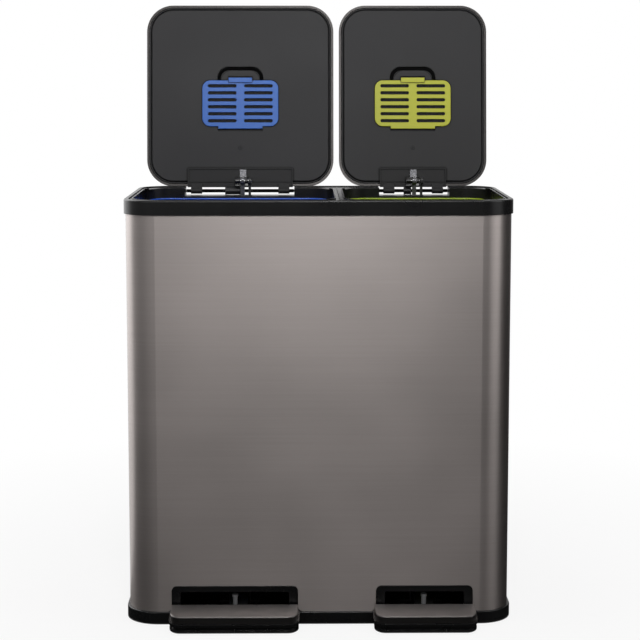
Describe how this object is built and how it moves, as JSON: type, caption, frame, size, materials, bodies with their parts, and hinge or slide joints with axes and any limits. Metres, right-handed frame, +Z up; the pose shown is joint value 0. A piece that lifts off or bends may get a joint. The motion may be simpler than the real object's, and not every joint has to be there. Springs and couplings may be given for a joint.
{
  "type": "double recycling bin",
  "caption": "Floor-standing double pedal bin: a dark steel cabinet with lift-out coloured buckets, each under its own lid opened by its own pedal.",
  "frame": {"origin": "on the floor, at the middle of the cabinet's footprint", "axes": "+Z up, +X to the right as seen from the front, the pedals and the front face -Y"},
  "size_m": [0.5766, 0.4259, 0.9239],
  "materials": {
    "cabinet_steel": "dark brushed stainless steel",
    "lid_steel": "dark brushed stainless steel",
    "pedal_steel": "dark brushed stainless steel",
    "black_plastic": "fine satin, moulded",
    "lid_plastic": "fine matte grain, moulded",
    "lever_plastic": "satin, moulded",
    "damper_plastic": "satin, moulded",
    "blue_plastic": "satin, moulded, coloured through",
    "green_plastic": "satin, moulded, coloured through",
    "blue_grille": "satin, moulded, coloured through",
    "green_grille": "satin, moulded, coloured through",
    "rubber_black": "matte",
    "filter_foam": "open carbon foam",
    "zinc_steel": "bright zinc plate",
    "pin_steel": "polished",
    "black_steel": "black powder coat",
    "grey_plastic": "satin"
  },
  "bodies": {
    "cabinet": {"outer_shell": "cabinet_steel", "top_collar": "black_plastic", "base_tray": "black_plastic", "rubber_feet": "rubber_black", "bracket_screws": "black_steel", "left_pedal_bracket": "black_steel", "left_pedal_axle": "black_steel", "left_hinge_pin": "black_steel", "left_damper_drum": "damper_plastic", "right_pedal_bracket": "black_steel", "right_pedal_axle": "black_steel", "right_hinge_pin": "black_steel", "right_damper_drum": "damper_plastic"},
    "left_lid": {"left_lid_shell": "lid_steel", "left_lid_liner": "lid_plastic", "left_hinge_plate": "lid_plastic", "left_filter_pad": "filter_foam", "left_lid_tab": "zinc_steel", "left_lift_lever": "lever_plastic", "left_lever_pin": "pin_steel"},
    "left_filter_door": {"left_filter_grille": "blue_grille"},
    "left_pedal": {"left_pedal_tread": "pedal_steel", "left_pedal_carrier": "black_plastic", "left_pedal_sole": "rubber_black", "left_pedal_lever": "black_steel", "left_pedal_stud": "grey_plastic", "left_rod_pin": "pin_steel"},
    "left_rod": {"left_push_rod": "zinc_steel", "left_rod_hook": "black_steel"},
    "left_bucket_body": {"left_bucket": "blue_plastic"},
    "right_lid": {"right_lid_shell": "lid_steel", "right_lid_liner": "lid_plastic", "right_hinge_plate": "lid_plastic", "right_filter_pad": "filter_foam", "right_lid_tab": "zinc_steel", "right_lift_lever": "lever_plastic", "right_lever_pin": "pin_steel"},
    "right_filter_door": {"right_filter_grille": "green_grille"},
    "right_pedal": {"right_pedal_tread": "pedal_steel", "right_pedal_carrier": "black_plastic", "right_pedal_sole": "rubber_black", "right_pedal_lever": "black_steel", "right_pedal_stud": "grey_plastic", "right_rod_pin": "pin_steel"},
    "right_rod": {"right_push_rod": "zinc_steel", "right_rod_hook": "black_steel"},
    "right_bucket_body": {"right_bucket": "green_plastic"}
  },
  "joints": [
    {"name": "left_lid_hinge", "type": "hinge", "parent": "cabinet", "child": "left_lid", "pos_m": [-0.125, 0.154, 0.6242], "axis": [-1, 0, 0], "range_deg": [-97, 0]},
    {"name": "left_pedal_pivot", "type": "hinge", "parent": "cabinet", "child": "left_pedal", "pos_m": [-0.1205, -0.059, 0.032], "axis": [1, 0, 0], "range_deg": [-9.5, 0]},
    {"name": "left_rod_pivot", "type": "hinge", "parent": "left_pedal", "child": "left_rod", "pos_m": [-0.1205, 0.13932, 0.04848], "axis": [-1, 0, 0], "range_deg": [-9.5, 0]},
    {"name": "left_filter_hinge", "type": "hinge", "parent": "left_lid", "child": "left_filter_door", "pos_m": [-0.125, 0.17349, 0.72548], "axis": [-1, 0, 0], "range_deg": [-75, 0]},
    {"name": "left_bucket_lift", "type": "slide", "parent": "cabinet", "child": "left_bucket_body", "axis": [0, 0, 1], "range_m": [0, 0.57]},
    {"name": "right_lid_hinge", "type": "hinge", "parent": "cabinet", "child": "right_lid", "pos_m": [0.1565, 0.154, 0.6242], "axis": [-1, 0, 0], "range_deg": [-97, 0]},
    {"name": "right_pedal_pivot", "type": "hinge", "parent": "cabinet", "child": "right_pedal", "pos_m": [0.157, -0.059, 0.032], "axis": [1, 0, 0], "range_deg": [-9.5, 0]},
    {"name": "right_rod_pivot", "type": "hinge", "parent": "right_pedal", "child": "right_rod", "pos_m": [0.157, 0.13932, 0.04848], "axis": [-1, 0, 0], "range_deg": [-9.5, 0]},
    {"name": "right_filter_hinge", "type": "hinge", "parent": "right_lid", "child": "right_filter_door", "pos_m": [0.1565, 0.17349, 0.72548], "axis": [-1, 0, 0], "range_deg": [-75, 0]},
    {"name": "right_bucket_lift", "type": "slide", "parent": "cabinet", "child": "right_bucket_body", "axis": [0, 0, 1], "range_m": [0, 0.57]}
  ],
  "couplings": [
    {"joint": "left_pedal_pivot", "follows": "left_lid_hinge", "ratio": 0.0979},
    {"joint": "left_rod_pivot", "follows": "left_lid_hinge", "ratio": 0.0979},
    {"joint": "right_pedal_pivot", "follows": "right_lid_hinge", "ratio": 0.0979},
    {"joint": "right_rod_pivot", "follows": "right_lid_hinge", "ratio": 0.0979}
  ]
}
